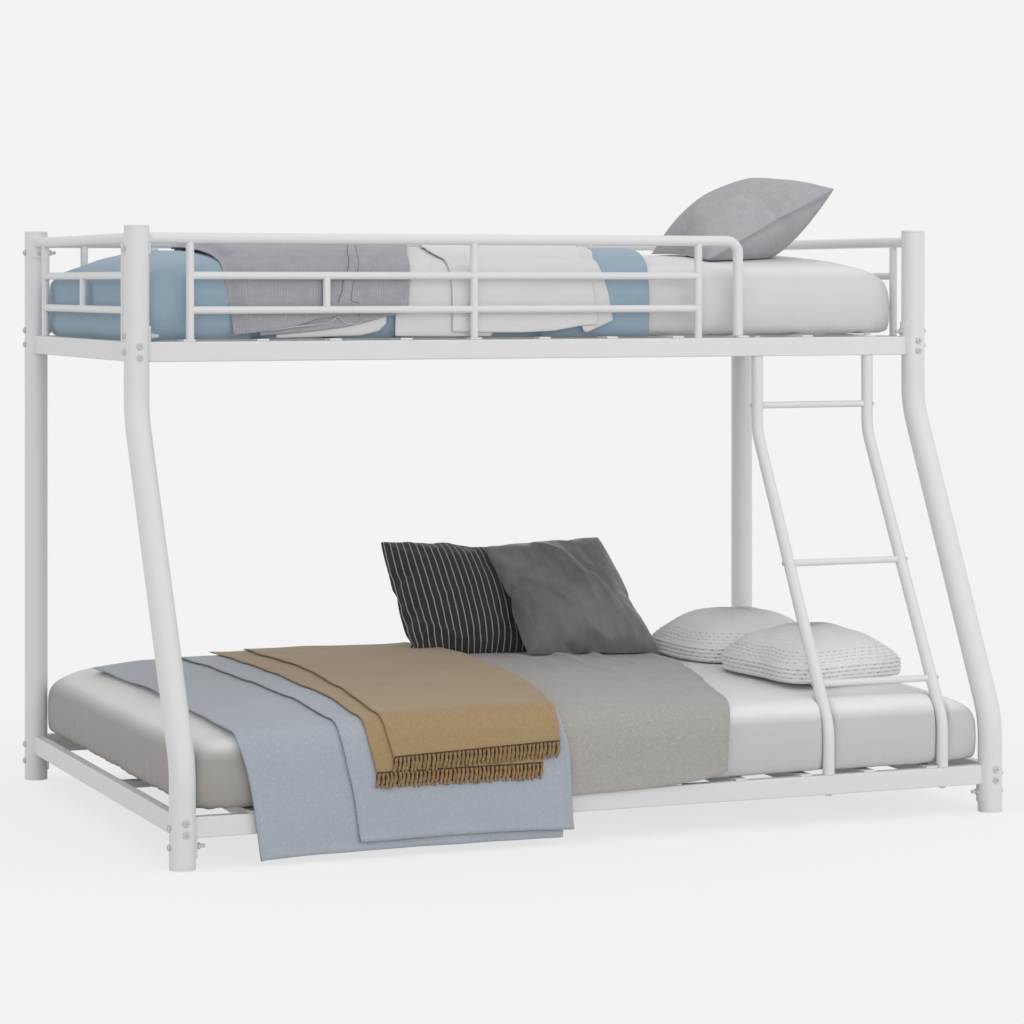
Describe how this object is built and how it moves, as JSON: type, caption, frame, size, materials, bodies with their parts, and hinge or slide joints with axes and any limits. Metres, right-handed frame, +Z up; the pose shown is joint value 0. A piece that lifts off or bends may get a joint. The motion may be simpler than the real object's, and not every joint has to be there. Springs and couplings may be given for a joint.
{
  "type": "bunk bed",
  "caption": "White tubular metal bunk bed, a single deck over a wider base, with outward-bent front posts, guard rails, a fixed ladder and dressed beds",
  "frame": {"origin": "on the floor, under the middle of the bed's outer box", "axes": "X along the bed with the ladder towards +X, Y from the open front to the back, Z up"},
  "size_m": [2.0384, 1.3854, 1.5186],
  "materials": {
    "white_enamel": "satin",
    "bare_steel": "satin",
    "white_plastic": "matte",
    "white_ticking": "matte",
    "pale_grey_ticking": "matte",
    "blue_grey_cotton": "matte",
    "grey_linen": "matte",
    "white_linen": "matte",
    "mauve_grey_linen": "matte",
    "pale_blue_wool": "matte",
    "taupe_grey_wool": "matte",
    "camel_wool": "matte",
    "charcoal_pinstripe": "matte",
    "grey_velvet": "satin",
    "white_knit": "matte"
  },
  "bodies": {
    "root": {"beam_screws": "bare_steel", "camel_throw": "camel_wool", "centre_leg_caps": "white_plastic", "centre_legs": "white_enamel", "front_guard": "white_enamel", "guard_bolts": "bare_steel", "guard_nuts": "bare_steel", "guard_screws": "bare_steel", "knit_pillow_back": "white_knit", "knit_pillow_front": "white_knit", "ladder_bolts": "bare_steel", "ladder_rung_bottom": "white_enamel", "ladder_rung_middle": "white_enamel", "ladder_rung_top": "white_enamel", "ladder_upright_left": "white_enamel", "ladder_upright_right": "white_enamel", "left_end_guard": "white_enamel", "lower_blue_throw": "pale_blue_wool", "lower_centre_beam": "white_enamel", "lower_end_bolts": "bare_steel", "lower_end_nuts": "bare_steel", "lower_grey_throw": "taupe_grey_wool", "lower_mattress": "pale_grey_ticking", "lower_rail_bolts": "bare_steel", "lower_rail_front": "white_enamel", "lower_rail_left": "white_enamel", "lower_rail_nuts": "bare_steel", "lower_rail_rear": "white_enamel", "lower_rail_right": "white_enamel", "lower_slats": "white_enamel", "post_foot_caps": "white_plastic", "post_front_left": "white_enamel", "post_front_right": "white_enamel", "post_rear_left": "white_enamel", "post_rear_right": "white_enamel", "post_top_caps": "white_plastic", "rear_guard": "white_enamel", "right_end_guard": "white_enamel", "rung_screws": "bare_steel", "striped_pillow": "charcoal_pinstripe", "upper_blanket": "blue_grey_cotton", "upper_centre_beam": "white_enamel", "upper_end_bolts": "bare_steel", "upper_end_nuts": "bare_steel", "upper_grey_throw": "grey_linen", "upper_mattress": "white_ticking", "upper_pillow": "mauve_grey_linen", "upper_rail_bolts": "bare_steel", "upper_rail_front": "white_enamel", "upper_rail_left": "white_enamel", "upper_rail_nuts": "bare_steel", "upper_rail_rear": "white_enamel", "upper_rail_right": "white_enamel", "upper_slats": "white_enamel", "upper_white_throw": "white_linen", "velvet_pillow": "grey_velvet"}
  },
  "joints": []
}
